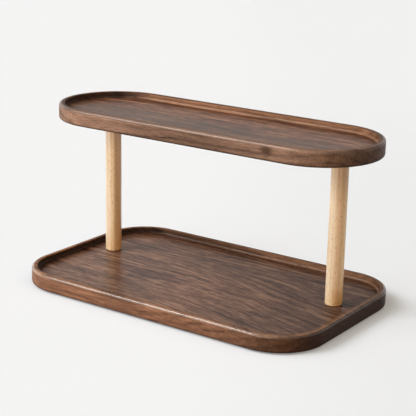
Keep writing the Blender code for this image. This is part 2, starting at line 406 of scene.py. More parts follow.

# The beech billets, with the same measures as the boards, and:
# - tints: the painted light and shade across the post, from left to right as the camera looks
# - soak: how much painted shade the foot gets higher up on one side
# - shade, shade_depths: the tone under the upper tray, and how far below the head, in metres, it starts and
#   is full
BILLETS = {
    "left_post": {
        "offset": (0, 0, 0),
        "pith": (60, 40, 0),
        "lean": (0.03, -0.04, 0),
        "ring": 5,
        "light_and_shade_tints": (
            (0.00, "E6E8EE"), (0.14, "E6E8F0"), (0.32, "F5F2EE"), (0.51, "F8F2E9"),
            (0.63, "E1D4C8"), (0.72, "D3C5B9"), (0.86, "E1CEB9"), (1.00, "E3D0BC"),
        ),
        "foot_side_shade": 0.15,
        "shade": "DFDADF",
        "shade_depths": (0.055, 0.018),
    },
    "right_post": {
        "offset": (90, 70, 300),
        "pith": (-24, -101, 0),
        "lean": (0.05, -0.06, 0),
        "ring": 3.6,
        "light_and_shade_tints": (
            (0.00, "E5E6EA"), (0.14, "E6E7EB"), (0.32, "E3DDDA"), (0.52, "E1D3C5"),
            (0.67, "DBCBBC"), (0.77, "E5DBCF"), (0.86, "F7F3ED"), (1.00, "FFFDF9"),
        ),
        "foot_side_shade": 0.1,
        "shade": "C8BDB0",
        "shade_depths": (0.066, 0.014),
    },
}


def linear(color):
    """An sRGB hex colour as linear red, green, blue and an alpha of one."""
    channels = [int(color[start:start + 2], 16) / 255 for start in (0, 2, 4)]
    return [c / 12.92 if c <= 0.04045 else ((c + 0.055) / 1.055) ** 2.4 for c in channels] + [1.0]


def fill(tree, node, inputs):
    """Give the node's inputs their values or hex colours, and link those that are given an output."""
    for key, value in inputs.items():
        if isinstance(value, bpy.types.NodeSocket):
            tree.links.new(value, node.inputs[key])
        else:
            node.inputs[key].default_value = linear(value) if isinstance(value, str) else value


def add(tree, kind, inputs=None, stops=None, **settings):
    """Add a shader node with its settings, its inputs and the stops of its ramp."""
    node = tree.nodes.new("ShaderNode" + kind)
    for name, value in settings.items():
        setattr(node, name, value)
    fill(tree, node, inputs or {})
    if stops:
        elements = node.color_ramp.elements
        while len(elements) < len(stops):
            elements.new(0.5)
        for element, (position, color) in zip(elements, stops):
            element.position = position
            element.color = linear(color)
    return node


def new_material(name):
    """A material with its tree and its one surface shader."""
    material = bpy.data.materials.new(name)
    material.use_nodes = True
    tree = material.node_tree
    return material, tree, tree.nodes["Principled BSDF"]


def millimetres(tree, offset=(0.0, 0.0, 0.0)):
    """The object's own coordinates, and their point in millimetres, moved by the offset."""
    coordinates = add(tree, "TexCoord")
    inputs = {0: coordinates.outputs["Object"], 1: (1 / MILLIMETRE,) * 3, 2: offset}
    return coordinates, add(tree, "VectorMath", inputs, operation="MULTIPLY_ADD").outputs[0]


def streaks(tree, point, size, detail=3.0, roughness=0.5):
    """Cloudy streaks that are about as long, deep and high as the size, in millimetres."""
    scaled = add(tree, "VectorMath", {0: point, 1: size}, operation="DIVIDE").outputs[0]
    inputs = {"Vector": scaled, "Scale": 1.0, "Detail": detail, "Roughness": roughness}
    return add(tree, "TexNoise", inputs).outputs["Fac"]


def wandering(tree, point, size, reach):
    """The point, moved aside by up to the reach, in slow turns of about the size."""
    scaled = add(tree, "VectorMath", {0: point, 1: size}, operation="DIVIDE").outputs[0]
    inputs = {"Vector": scaled, "Scale": 1.0, "Detail": 2.0}
    inputs = {0: add(tree, "TexNoise", inputs).outputs["Color"], 1: reach, 2: point}
    return add(tree, "VectorMath", inputs, operation="MULTIPLY_ADD").outputs[0]


def growth_ring(tree, grain, pith, slope, across, width):
    """How far a point is from one growth ring to the next, round a pith, measured on the axes across it."""
    inputs = {"Vector": grain, "Location": pith, "Rotation": slope, "Scale": across}
    away = add(tree, "Mapping", inputs).outputs[0]
    radius = add(tree, "VectorMath", {0: away}, operation="LENGTH").outputs["Value"]
    rings = add(tree, "Math", {0: radius, 1: width}, operation="DIVIDE").outputs[0]
    return add(tree, "Math", {0: rings}, operation="FRACT").outputs[0]


def mixed(tree, terms, middle):
    """Add up patterns by their weights, so that patterns at one half come to the middle value."""
    total = middle - sum(weight for _, weight in terms) / 2
    for pattern, weight in terms:
        inputs = {0: pattern, 1: weight, 2: total}
        total = add(tree, "Math", inputs, operation="MULTIPLY_ADD").outputs[0]
    return total


def band(tree, value, start, end, low=0.0, high=1.0):
    """Ease from low to high as the value goes from start to end."""
    inputs = {"Value": value, "From Min": start, "From Max": end, "To Min": low, "To Max": high}
    return add(tree, "MapRange", inputs, interpolation_type="SMOOTHSTEP").outputs["Result"]


def stepped(tree, along, steps):
    """The product of tone steps along the board, each of them a start, an end and the change between."""
    total = 1.0
    for start, end, change in steps:
        step = band(tree, along, start, end, 1.0, 1.0 + change)
        total = add(tree, "Math", {0: total, 1: step}, operation="MULTIPLY").outputs[0]
    return total


def seen_color(tree, seen, unseen):
    """One colour for what the camera, a reflection or glass shows, another for light that bounces on."""
    path = add(tree, "LightPath")
    rays = [path.outputs[name] for name in ("Is Camera Ray", "Is Glossy Ray", "Is Transmission Ray")]
    shown = add(tree, "Math", {0: rays[0], 1: rays[1]}, operation="MAXIMUM").outputs[0]
    shown = add(tree, "Math", {0: shown, 1: rays[2]}, operation="MAXIMUM").outputs[0]
    return add(tree, "Mix", {0: shown, 6: unseen, 7: seen}, data_type="RGBA").outputs[2]


def walnut_grain(tree, point, place, board):
    """Where the grain is read. It sweeps to the front at one end, as beside the crotch of a trunk."""
    sweep = band(tree, place.outputs["X"], *board["sweep_along"], 0.0, board["sweep"])
    share = band(tree, place.outputs["Y"], *board["sweep_across"], 1.0, 0.0)
    shift = add(tree, "Math", {0: sweep, 1: share}, operation="MULTIPLY").outputs[0]
    shift = add(tree, "CombineXYZ", {"Y": shift}).outputs[0]
    swept = add(tree, "VectorMath", {0: point, 1: shift}, operation="ADD").outputs[0]
    return wandering(tree, swept, WALNUT_WANDER, WALNUT_WANDER_REACH)


def belt_share(tree, grain, board):
    """A greyer belt of the board, which begins at a line along the grain."""
    across = add(tree, "SeparateXYZ", {0: grain}).outputs["Y"]
    return band(tree, across, *board["belt"], 0.0, BELT_SHARE)


def knot_share(tree, spot, flecks, board):
    """A small knot, darkest in the middle and ragged all round."""
    away = add(tree, "VectorMath", {0: spot, 1: board["knot"]}, operation="SUBTRACT").outputs[0]
    away = add(tree, "VectorMath", {0: away, 1: WALNUT_KNOT}, operation="DIVIDE").outputs[0]
    away = add(tree, "VectorMath", {0: away}, operation="LENGTH").outputs["Value"]
    away = mixed(tree, [(away, 1.0), (flecks, 0.5)], 0.5)
    return band(tree, away, 1.0, 0.2, 0.0, 0.9)


def floor_side_shadow_share(tree, spot, board):
    """Painted shadow and dark reflection of the left and back walls on the floor, outside its middle."""
    outside = spot
    for operation, other in (
        ("SUBTRACT", board["floor_middle"]),
        ("ABSOLUTE", (0.0, 0.0, 0.0)),
        ("SUBTRACT", board["straight"]),
        ("MAXIMUM", (0.0, 0.0, 0.0)),
        ("MULTIPLY", (1.0, 1.0, 0.0)),
    ):
        outside = add(tree, "VectorMath", {0: outside, 1: other}, operation=operation).outputs[0]
    outside = add(tree, "VectorMath", {0: outside}, operation="LENGTH").outputs["Value"]
    start, end = FLOOR_SIDE_SHADOW_REACH
    return band(tree, outside, board["bend"] + start, board["bend"] + end)


def walnut_shades(tree, place, normal, finish, board):
    """The tones that the wood's colour is multiplied by, most of them painted shade and highlight."""
    shades = []
    # Painted shade along a wall's foot and a painted highlight under its rounded top edge
    for level, start, end, low, high in finish["heights"]:
        shades.append(band(tree, place.outputs["Z"], board[level] + start, board[level] + end, low, high))
    # Painted shade on the cove, which turns up towards the lamps
    if finish["cove"]:
        shades.append(band(tree, normal.outputs["Z"], *COVE_TURN, 1.0, 1.0 - finish["cove"]))
    # Tone steps along the board: partly the wood's figure, partly painted shade where the light falls off
    front_steps = board["front_steps"][finish["steps"]]
    front = stepped(tree, place.outputs["X"], front_steps)
    back = stepped(tree, place.outputs["X"], board["back_steps"].get(finish["steps"], front_steps))
    depth = band(tree, place.outputs["Y"], *board["depth"])
    shades.append(add(tree, "Mix", {0: depth, 2: front, 3: back}).outputs[0])
    # Painted shade in corners, where other walls of the tray are near
    corner = add(tree, "AmbientOcclusion", {"Distance": CORNER_REACH}, samples=8, only_local=True)
    shades.append(band(tree, corner.outputs["AO"], *finish["corner"], 1.0))
    return shades


def walnut(name, finish, board):
    """Satin lacquered walnut, planed and sanded: long brown streaks, growth rings and open pores.

    The pattern is solid, so it runs on round an edge. The streaks seen on the floors are 4 to 8 mm wide and
    30 to 100 mm long. Real pores are 0.2 mm wide and are drawn 0.8 mm wide, so that they show.
    """
    material, tree, shader = new_material(name)
    coordinates, spot = millimetres(tree)
    point = add(tree, "VectorMath", {0: spot, 1: board["offset"]}, operation="ADD").outputs[0]
    place = add(tree, "SeparateXYZ", {0: spot})
    normal = add(tree, "SeparateXYZ", {0: coordinates.outputs["Normal"]})
    grain = walnut_grain(tree, point, place, board)
    ring = growth_ring(tree, grain, board["pith"], board["dip"], (0.0, 1.0, 1.0), board["ring"])
    late = band(tree, ring, *WALNUT_LATE_WOOD, 1.0, 0.0)
    broad = streaks(tree, grain, WALNUT_BROAD, 2.0)
    middling = streaks(tree, grain, board["bands"], 3.0, 0.55)
    fine = streaks(tree, grain, board["lines"], 3.0, 0.6)
    flecks = streaks(tree, point, finish["fleck_size"], 3.0, 0.7)
    pores = band(tree, streaks(tree, point, WALNUT_PORE, 2.0), 0.40, 0.32)
    contrast = board["contrast"] if finish["is_floor"] else 1.0
    terms = [
        (broad, finish["broad"]),
        (late, 0.12),
        (middling, finish["streaks"] * contrast),
        (fine, finish["streaks"] * contrast),
        (flecks, finish["flecks"] * contrast),
    ]
    stops = list(zip(WALNUT_TONES, finish["colors"]))
    color = add(tree, "ValToRGB", {"Fac": mixed(tree, terms, 0.5)}, stops).outputs[0]

    dark = finish["colors"][0]
    marks = [(mixed(tree, [(pores, WALNUT_PORE_SHARE)], WALNUT_PORE_SHARE / 2), dark)]
    if finish["is_floor"] and "belt" in board:
        marks.append((belt_share(tree, grain, board), BELT_COLOR))
    if "knot" in board:
        marks.append((knot_share(tree, spot, flecks, board), dark))
    for share, mark in marks:
        color = add(tree, "Mix", {0: share, 6: color, 7: mark}, data_type="RGBA").outputs[2]

    # Painted shade on faces turned from the lamps, with end grain's darker tone where they turn to +X
    light_and_shade_tints = []
    if finish["end_grain_shade_turn"]:
        light_and_shade_tints.append((band(tree, normal.outputs["X"], *finish["end_grain_shade_turn"]), board["end_grain_shade_tint"]))
        # Painted shade on faces that turn to -X at the left end
        light_and_shade_tints.append((band(tree, normal.outputs["X"], *LEFT_END_SHADE_TURN), LEFT_END_SHADE_TINT))
    # Painted shadow and dark reflection of the left and back walls on the floor
    if finish["is_floor"]:
        light_and_shade_tints.append((floor_side_shadow_share(tree, spot, board), FLOOR_SIDE_SHADOW_TINT))
    for share, tint in light_and_shade_tints:
        inputs = {0: share, 6: color, 7: tint}
        color = add(tree, "Mix", inputs, data_type="RGBA", blend_type="MULTIPLY").outputs[2]
    for shade in walnut_shades(tree, place, normal, finish, board):
        color = add(tree, "VectorMath", {0: color, "Scale": shade}, operation="SCALE").outputs[0]
    inputs = {0: color, 1: board["stain"]}
    color = add(tree, "VectorMath", inputs, operation="MULTIPLY").outputs[0]

    relief = mixed(tree, [(fine, 0.5), (pores, -1.0)], 0.0)
    inputs = {"Strength": 0.3, "Distance": WALNUT_RELIEF * MILLIMETRE, "Height": relief}
    sockets = {
        "Base Color": color,
        "Roughness": mixed(tree, [(fine, 0.12), (broad, 0.08), (pores, 0.10)], finish["roughness"]),
        "IOR": LACQUER_IOR,
        "Specular IOR Level": finish["level"],
        "Coat Roughness": finish["coat_roughness"],
        "Normal": add(tree, "Bump", inputs).outputs[0],
    }
    if finish["coat"]:
        coat = band(tree, normal.outputs["X"], *finish["coat_turn"], finish["coat"], 0.0)
        if finish["is_floor"]:
            # The floor was rubbed with less lacquer towards the back right corner
            inputs = {0: spot, 1: THIN_COAT_DIRECTION}
            away = add(tree, "VectorMath", inputs, operation="DOT_PRODUCT").outputs["Value"]
            inputs = {0: coat, 1: band(tree, away, *THIN_COAT_STRETCH, 1.0, THIN_COAT_SHARE)}
            coat = add(tree, "Math", inputs, operation="MULTIPLY").outputs[0]
        sockets["Coat Weight"] = coat
    fill(tree, shader, sockets)
    return material


def beech(name, billet):
    """Matt lacquered beech, turned and sanded: pale straight grain with short brown flecks.

    Real flecks are 1 to 3 mm long and 0.3 mm wide and are drawn 0.7 mm wide, so that they show. The rings
    lean a little across the post, so that they run out in long points.
    """
    material, tree, shader = new_material(name)
    coordinates, point = millimetres(tree, billet["offset"])
    grain = wandering(tree, point, BEECH_WANDER, BEECH_WANDER_REACH)
    ring = growth_ring(tree, grain, billet["pith"], billet["lean"], (1.0, 1.0, 0.0), billet["ring"])
    late = band(tree, ring, *BEECH_LATE_WOOD, 1.0, 0.0)
    broad = streaks(tree, grain, BEECH_BROAD, 2.0)
    fine = streaks(tree, grain, BEECH_FINE, 3.0, 0.6)
    flecks = band(tree, streaks(tree, point, BEECH_FLECK, 1.0), 0.38, 0.30)
    tone = mixed(tree, [(broad, 0.6), (fine, 0.65), (late, 0.2)], 0.5)
    stops = list(zip(BEECH_TONES, BEECH_COLORS))
    color = add(tree, "ValToRGB", {"Fac": tone}, stops).outputs[0]
    share = mixed(tree, [(flecks, BEECH_FLECK_SHARE)], BEECH_FLECK_SHARE / 2)
    inputs = {0: share, 6: color, 7: BEECH_FLECK_COLOR}
    color = add(tree, "Mix", inputs, data_type="RGBA").outputs[2]

    # Painted light and shade across the post, from left to right as the camera looks: paler where lit,
    # darker and redder in shade, and lighter again at the right edge, a painted reflection
    inputs = {0: coordinates.outputs["Object"], 1: [part / MILLIMETRE for part in VIEW_RIGHT]}
    side = add(tree, "VectorMath", inputs, operation="DOT_PRODUCT").outputs["Value"]
    inputs = {0: side, 1: RAMP_PER_MILLIMETRE, 2: 0.5}
    across = add(tree, "Math", inputs, operation="MULTIPLY_ADD").outputs[0]
    tint = add(tree, "ValToRGB", {"Fac": across}, billet["light_and_shade_tints"]).outputs[0]
    tint = add(tree, "VectorMath", {0: tint, "Scale": TINT_SCALE}, operation="SCALE").outputs[0]
    color = add(tree, "VectorMath", {0: color, 1: tint}, operation="MULTIPLY").outputs[0]

    # Painted warm shade on the foot from the walnut round it, most on the shaded right side
    height = add(tree, "SeparateXYZ", {0: coordinates.outputs["Object"]}).outputs["Z"]
    foot = billet["foot"]
    foot_shade = band(tree, height, foot, foot + FOOT_SHADE_HEIGHT, FOOT_SHADE_SHARE, 0.0)
    side_shade = band(tree, height, *[foot + above for above in FOOT_SIDE_SHADE_HEIGHTS], billet["foot_side_shade"], 0.0)
    inputs = {0: side_shade, 1: band(tree, side, *FOOT_SHADED_SIDE), 2: foot_shade}
    foot_shade = add(tree, "Math", inputs, operation="MULTIPLY_ADD", use_clamp=True).outputs[0]
    # The wood close under the upper tray is in its shade, which the lamps shine past
    shaded = band(tree, height, *[billet["head"] - depth for depth in billet["shade_depths"]])
    for share, tint in ((foot_shade, FOOT_SHADE_TINT), (shaded, billet["shade"])):
        inputs = {0: share, 6: color, 7: tint}
        color = add(tree, "Mix", inputs, data_type="RGBA", blend_type="MULTIPLY").outputs[2]
    inputs = {0: color, 1: billet["stain"]}
    color = add(tree, "VectorMath", inputs, operation="MULTIPLY").outputs[0]

    relief = mixed(tree, [(fine, 0.6), (flecks, -0.5)], 0.0)
    inputs = {"Strength": 0.2, "Distance": BEECH_RELIEF * MILLIMETRE, "Height": relief}
    sockets = {
        "Base Color": color,
        "Roughness": mixed(tree, [(fine, 0.15), (flecks, 0.1)], 0.42),
        "IOR": LACQUER_IOR,
        "Specular IOR Level": 0.9,
        "Coat Weight": 0.4,
        "Coat Roughness": 0.35,
        "Normal": add(tree, "Bump", inputs).outputs[0],
    }
    fill(tree, shader, sockets)
    return material


def turned_metal(name, palette, roughness):
    """A turned metal with its plating or bare face: dull and bright patches, and fine lathe lines."""
    material, tree, shader = new_material(name)
    _, point = millimetres(tree)
    patches = streaks(tree, point, METAL_PATCH, 4.0, 0.6)
    lines = streaks(tree, point, LATHE_LINE, 1.0)
    stops = list(zip((0.3, 0.7), palette))
    inputs = {"Strength": 0.3, "Distance": METAL_RELIEF * MILLIMETRE, "Height": lines}
    sockets = {
        "Base Color": add(tree, "ValToRGB", {"Fac": patches}, stops).outputs[0],
        "Metallic": 1.0,
        "Roughness": mixed(tree, [(patches, 0.25), (lines, 0.1)], roughness),
        "Normal": add(tree, "Bump", inputs).outputs[0],
    }
    fill(tree, shader, sockets)
    return material


def rubber(name, palette):
    """Moulded matt rubber: near black, with a fine grit and a little dust."""
    material, tree, shader = new_material(name)
    _, point = millimetres(tree)
    grit = streaks(tree, point, RUBBER_GRIT, 3.0)
    dust = streaks(tree, point, RUBBER_DUST, 3.0)
    tone = mixed(tree, [(grit, 0.4), (dust, 0.8)], 0.5)
    stops = list(zip((0.3, 0.8), palette))
    inputs = {"Strength": 0.4, "Distance": RUBBER_RELIEF * MILLIMETRE, "Height": grit}
    sockets = {
        "Base Color": add(tree, "ValToRGB", {"Fac": tone}, stops).outputs[0],
        "Roughness": mixed(tree, [(dust, 0.2)], 0.75),
        "Specular IOR Level": 0.4,
        "Normal": add(tree, "Bump", inputs).outputs[0],
    }
    fill(tree, shader, sockets)
    return material


def paper(name, settings):
    """Matt paper. What looks at it sees it paler than the light that it sends back to the object."""
    material, tree, shader = new_material(name)
    # The paper falls off a little towards the right, away from the lamps
    spot = add(tree, "TexCoord").outputs["Object"]
    inputs = {0: spot, 1: VIEW_RIGHT}
    right = add(tree, "VectorMath", inputs, operation="DOT_PRODUCT").outputs["Value"]
    inputs = {0: spot, 1: VIEW_BACK}
    back = add(tree, "VectorMath", inputs, operation="DOT_PRODUCT").outputs["Value"]
    right = band(tree, right, *PAPER_FALLOFF_RIGHT)
    back = band(tree, back, *PAPER_FALLOFF_BACK, PAPER_FALLOFF_FAR_SHARE, 1.0)
    falloff = add(tree, "Math", {0: right, 1: back}, operation="MULTIPLY").outputs[0]
    inputs = {0: falloff, 1: -PAPER_FALLOFF, 2: 1.0}
    tone = add(tree, "Math", inputs, operation="MULTIPLY_ADD").outputs[0]
    # Painted shade on the paper close to the object, which sees less of the room
    near = add(tree, "AmbientOcclusion", {"Distance": PAPER_NEAR_REACH}, samples=16).outputs["AO"]
    inputs = {0: tone, 1: band(tree, near, 0.0, 1.0, PAPER_NEAR_TONE, 1.0)}
    tone = add(tree, "Math", inputs, operation="MULTIPLY").outputs[0]

    # Its own colour is what is left of the tone that is to be seen, after its glow and the light on it
    light = list(BACKDROP_LIGHT)
    for setting, lamp_color, _, elevation, _, _ in LAMPS.values():
        share = getattr(settings, setting)
        slant = math.sin(math.radians(elevation))
        light = [part + share * channel * slant for part, channel in zip(light, linear(lamp_color))]
    glow = [channel * settings.glow for channel in settings.paper]
    lit = [channel * (1.0 - settings.glow) / full for channel, full in zip(settings.paper, light)]
    glow = add(tree, "VectorMath", {0: glow, "Scale": tone}, operation="SCALE").outputs[0]
    lit = add(tree, "VectorMath", {0: lit, "Scale": tone}, operation="SCALE").outputs[0]
    sockets = {
        "Base Color": seen_color(tree, lit, PAPER_BOUNCE),
        "Emission Color": seen_color(tree, glow, "000000"),
        "Emission Strength": 1.0,
        "Roughness": 1.0,
        "Specular IOR Level": 0.0,
    }
    fill(tree, shader, sockets)
    return material


def rounded_outline(length, width, radius):
    """A corner-rounded rectangle, counter-clockwise. At half the width its ends are full round."""
    points = []
    for quarter, (side_x, side_y) in enumerate(((1, 1), (-1, 1), (-1, -1), (1, -1))):
        for step in range(CORNER_SEGMENTS + 1):
            angle = (quarter + step / CORNER_SEGMENTS) * RIGHT_ANGLE
            x = side_x * (length / 2 - radius) + radius * math.cos(angle)
            y = side_y * (width / 2 - radius) + radius * math.sin(angle)
            points.append((x, y))
    before = points[-1:] + points[:-1]
    return [point for point, last in zip(points, before) if math.dist(point, last) > MERGE_DISTANCE]


def sharp_edges(bm, turn):
    """The edges that turn outwards (turn 1) or inwards (turn -1) by about a right angle."""
    return [edge for edge in bm.edges if turn * edge.calc_face_angle_signed() > CORNER_ANGLE]


def round_over(bm, edges, radius, segments):
    """Round the edges to an arc, or fill them to one where they turn inwards. Returns the new faces."""
    return bmesh.ops.bevel(
        bm,
        geom=edges,
        offset=radius,
        offset_type="OFFSET",
        segments=segments,
        profile=ROUND_PROFILE,
        affect="EDGES",
    )["faces"]


def new_piece(name, mesh):
    """Link the mesh as a piece of the object, smooth but for its hard edges."""
    mesh.shade_smooth()
    mesh.set_sharp_from_angle(angle=SMOOTH_ANGLE)
    piece = bpy.data.objects.new(name, mesh)
    bpy.context.scene.collection.objects.link(piece)
    normals = piece.modifiers.new("Flat faces stay flat", "WEIGHTED_NORMAL")
    normals.keep_sharp = True
    return piece


def add_piece(piece, node):
    """Let the piece ride on the frame in the node's place."""
    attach(piece, BODY)
    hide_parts(node)


def turned(name, profile, segments):
    """Turn a profile of (radius, height) points about Z. It starts and ends on the axis."""
    bm = bmesh.new()
    points = [bm.verts.new((radius, 0.0, height)) for radius, height in profile]
    edges = [bm.edges.new(pair) for pair in zip(points, points[1:])]
    bmesh.ops.spin(bm, geom=points + edges, axis=(0, 0, 1), angle=4 * RIGHT_ANGLE, steps=segments)
    bmesh.ops.remove_doubles(bm, verts=bm.verts[:], dist=MERGE_DISTANCE)
    bmesh.ops.recalc_face_normals(bm, faces=bm.faces[:])
    mesh = bpy.data.meshes.new(name)
    bm.to_mesh(mesh)
    bm.free()
    return mesh


def drilled(mesh, name, profile, places):
    """Cut a turned hole into the mesh at each place, and return the new mesh."""
    blank = bpy.data.objects.new(name, mesh)
    bpy.context.scene.collection.objects.link(blank)
    drills = []
    for place in places:
        drill = bpy.data.objects.new(name, turned(name, profile, BORE_SEGMENTS))
        drill.location = place
        bpy.context.scene.collection.objects.link(drill)
        boolean = blank.modifiers.new(name, "BOOLEAN")
        boolean.operation = "DIFFERENCE"
        boolean.object = drill
        drills.append(drill)
    graph = bpy.context.evaluated_depsgraph_get()
    result = bpy.data.meshes.new_from_object(blank.evaluated_get(graph), depsgraph=graph)
    for spare in (blank, *drills):
        bpy.data.objects.remove(spare, do_unlink=True)
    return result


def routed_tray(name, low, high, corner_radius, settings):
    """The board between two corners of its box, routed as the frame's own, with its edges rounded.

    Its faces carry the indexes of their kinds: wall, rounded edge, floor, flat rim and inner wall.
    """
    length, width, thickness = high - low
    bm = bmesh.new()
    outline = rounded_outline(length, width, corner_radius)
    bm.faces.new([bm.verts.new((x, y, 0)) for x, y in outline])
    lifted = bmesh.ops.extrude_face_region(bm, geom=bm.faces[:])["geom"]
    lifted_points = [part for part in lifted if isinstance(part, bmesh.types.BMVert)]
    bmesh.ops.translate(bm, verts=lifted_points, vec=(0, 0, thickness))
    bmesh.ops.recalc_face_normals(bm, faces=bm.faces[:])
    edges = round_over(bm, sharp_edges(bm, 1), settings.outer_edge, OUTER_EDGE_SEGMENTS)

    top = max(bm.faces, key=lambda face: face.calc_center_median().z)
    for face in edges:
        if face.calc_center_median().z > thickness / 2:
            face.material_index = EDGE
    rim_width = settings.rim - settings.outer_edge
    rim = bmesh.ops.inset_region(bm, faces=[top], thickness=rim_width, use_even_offset=True)
    floor = bmesh.ops.extrude_discrete_faces(bm, faces=[top])["faces"][0]
    bmesh.ops.translate(bm, verts=floor.verts[:], vec=(0, 0, -settings.recess))
    # The faces that a rounding cuts short keep the index that they have before it
    for face in rim["faces"]:
        face.material_index = RIM
    for edge in floor.edges:
        for face in edge.link_faces:
            face.material_index = INNER
    for face in round_over(bm, sharp_edges(bm, 1), settings.inner_edge, INNER_EDGE_SEGMENTS):
        face.material_index = RIM
    for face in round_over(bm, sharp_edges(bm, -1), settings.cove, COVE_SEGMENTS):
        face.material_index = INNER
    floor = max(bm.faces, key=lambda face: face.calc_area() * (face.normal.z > FACES_UP))
    floor.material_index = FLOOR
    bmesh.ops.translate(bm, verts=bm.verts[:], vec=((low.x + high.x) / 2, (low.y + high.y) / 2, low.z))
    mesh = bpy.data.meshes.new(name)
    bm.to_mesh(mesh)
    bm.free()
    return mesh


def hole_profile(node, low, high):
    """The hole under each post: through and countersunk in the lower tray, blind in the upper one."""
    foot = low.z - CUT_OVERRUN
    if node == "upper_tray":
        end = low.z + SHELF_HOLE_DEPTH
        return [(0, end), (INSERT_HOLE_DIAMETER / 2, end), (INSERT_HOLE_DIAMETER / 2, foot), (0, foot)]
    cone_foot = low.z + COUNTERSINK_FOOT
    cone_top = cone_foot + (COUNTERSINK_DIAMETER - BOLT_HOLE_DIAMETER) / 2
    return [
        (0, high.z),
        (BOLT_HOLE_DIAMETER / 2, high.z),
        (BOLT_HOLE_DIAMETER / 2, cone_top),
        (COUNTERSINK_DIAMETER / 2, cone_foot),
        (COUNTERSINK_DIAMETER / 2, foot),
        (0, foot),
    ]


def post_profile(low, high, chamfer):
    """Half of a post's section, bored for the hanger bolt in its head and the insert in its foot."""
    radius = (high.x - low.x) / 2
    return [
        (0, high.z - HEAD_BORE_DEPTH),
        (HEAD_BORE_DIAMETER / 2, high.z - HEAD_BORE_DEPTH),
        (HEAD_BORE_DIAMETER / 2, high.z),
        (radius - chamfer, high.z),
        (radius, high.z - chamfer),
        (radius, low.z + chamfer),
        (radius - chamfer, low.z),
        (INSERT_HOLE_DIAMETER / 2, low.z),
        (INSERT_HOLE_DIAMETER / 2, low.z + FOOT_BORE_DEPTH),
        (0, low.z + FOOT_BORE_DEPTH),
    ]


def post_axis(node):
    """Where the post's axis meets the worktop."""
    low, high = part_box(node)
    return ((low.x + high.x) / 2, (low.y + high.y) / 2, 0)


class TraySettings(bpy.types.PropertyGroup):
    """The routed shape and the colour of both trays."""

    rim: FloatProperty(name="Rim", description="Width of the rim", default=0.007, unit="LENGTH")
    recess: FloatProperty(name="Recess", description="Depth of the recess", default=0.0075, unit="LENGTH")
    cove: FloatProperty(name="Cove", description="Radius round the floor", default=0.0028, unit="LENGTH")
    outer_edge: FloatProperty(
        name="Outer edge",
        description="Radius of the outer edges",
        default=0.003,
        unit="LENGTH",
    )
    inner_edge: FloatProperty(
        name="Inner edge",
        description="Radius of the rim's inner edge",
        default=0.0007,
        unit="LENGTH",
    )
    corner: FloatProperty(
        name="Corner",
        description="Corner radius of the lower tray",
        default=0.058,
        unit="LENGTH",
    )
    stain: FloatVectorProperty(
        name="Walnut stain",
        description="Colour of the stain over the walnut, where white is bare wood",
        default=(1.0, 1.0, 1.0),
        min=0.0,
        max=1.0,
        subtype="COLOR",
        size=3,
    )


class PostSettings(bpy.types.PropertyGroup):
    """The turned ends and the colour of the posts."""

    chamfer: FloatProperty(name="Chamfer", description="Chamfer of both ends", default=0.001, unit="LENGTH")
    stain: FloatVectorProperty(
        name="Beech stain",
        description="Colour of the stain over the beech, where white is bare wood",
        default=(1.0, 1.0, 1.0),
        min=0.0,
        max=1.0,
        subtype="COLOR",
        size=3,
    )


class StudioSettings(bpy.types.PropertyGroup):
    """The light and the paper behind the object."""

    key: FloatProperty(name="Key light", description="Share of full light from the softbox", default=0.56)
    left: FloatProperty(name="Left fill", description="Share of full light from the left", default=0.78)
    right: FloatProperty(name="Right fill", description="Share of full light from the right", default=0.44)
    glow: FloatProperty(name="Paper glow", description="Share of its tone that shadows leave", default=0.3)
    paper: FloatVectorProperty(
        name="Paper",
        description="Colour of the floor and backdrop",
        default=linear("F3F3F3")[:3],
        subtype="COLOR",
        size=3,
    )


class ORGANIZER_OT_trays(bpy.types.Operator):
    """Build both walnut trays"""

    bl_idname = "organizer.trays"
    bl_label = "Build walnut trays"

    def execute(self, context):
        settings = context.scene.organizer_trays
        for node, board in BOARDS.items():
            low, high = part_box(node)
            width = high.y - low.y
            radius = settings.corner if node == "lower_tray" else width / 2
            straight = Vector(((high.x - low.x) / 2 - radius, width / 2 - radius, 0.0))
            cut_board = dict(
                board,
                stain=settings.stain,
                foot=low.z / MILLIMETRE,
                head=high.z / MILLIMETRE,
                floor_middle=((low + high) / 2) / MILLIMETRE + FLOOR_MIDDLE_SHIFT,
                straight=straight / MILLIMETRE,
                bend=(radius - settings.rim) / MILLIMETRE,
            )
            mesh = routed_tray("walnut_" + node, low, high, radius, settings)
            for kind, finish in FINISHES.items():
                name = ", ".join(("Lacquered walnut", finish["made"], node.replace("_", " ")))
                mesh.materials.append(walnut(name, dict(finish, **board["faces"][kind]), cut_board))
            places = [post_axis(post) for post in BILLETS]
            mesh = drilled(mesh, "hole", hole_profile(node, low, high), places)
            add_piece(new_piece("walnut_" + node, mesh), node)
        return {"FINISHED"}


class ORGANIZER_OT_posts(bpy.types.Operator):
    """Build both beech posts"""

    bl_idname = "organizer.posts"
    bl_label = "Build beech posts"

    def execute(self, context):
        settings = context.scene.organizer_posts
        for node, billet in BILLETS.items():
            low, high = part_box(node)
            mesh = turned("beech_" + node, post_profile(low, high, settings.chamfer), POST_SEGMENTS)
            name = "Lacquered beech, turned, " + node.replace("_", " ")
            mesh.materials.append(beech(name, dict(billet, stain=settings.stain, foot=low.z, head=high.z)))
            piece = new_piece("beech_" + node, mesh)
            piece.location = post_axis(node)
            add_piece(piece, node)
        return {"FINISHED"}


class ORGANIZER_OT_fittings(bpy.types.Operator):
    """Finish the bolts, the threaded inserts and the pads"""

    bl_idname = "organizer.fittings"
    bl_label = "Finish bolts, inserts and pads"

    def execute(self, context):
        finishes = {
            "bolt": turned_metal("Zinc-plated steel, turned", ("A9ADB2", "D5D8DB"), 0.32),
            "insert": turned_metal("Brass, turned", ("B08A45", "D9B869"), 0.30),
            "pad": rubber("Rubber, moulded", ("0E0E0E", "242322")),
        }
        for name, node in sorted(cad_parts.items()):
            for ending, finish in finishes.items():
                if name.endswith(ending):
                    for place in node.material_slots:
                        place.material = finish
        return {"FINISHED"}


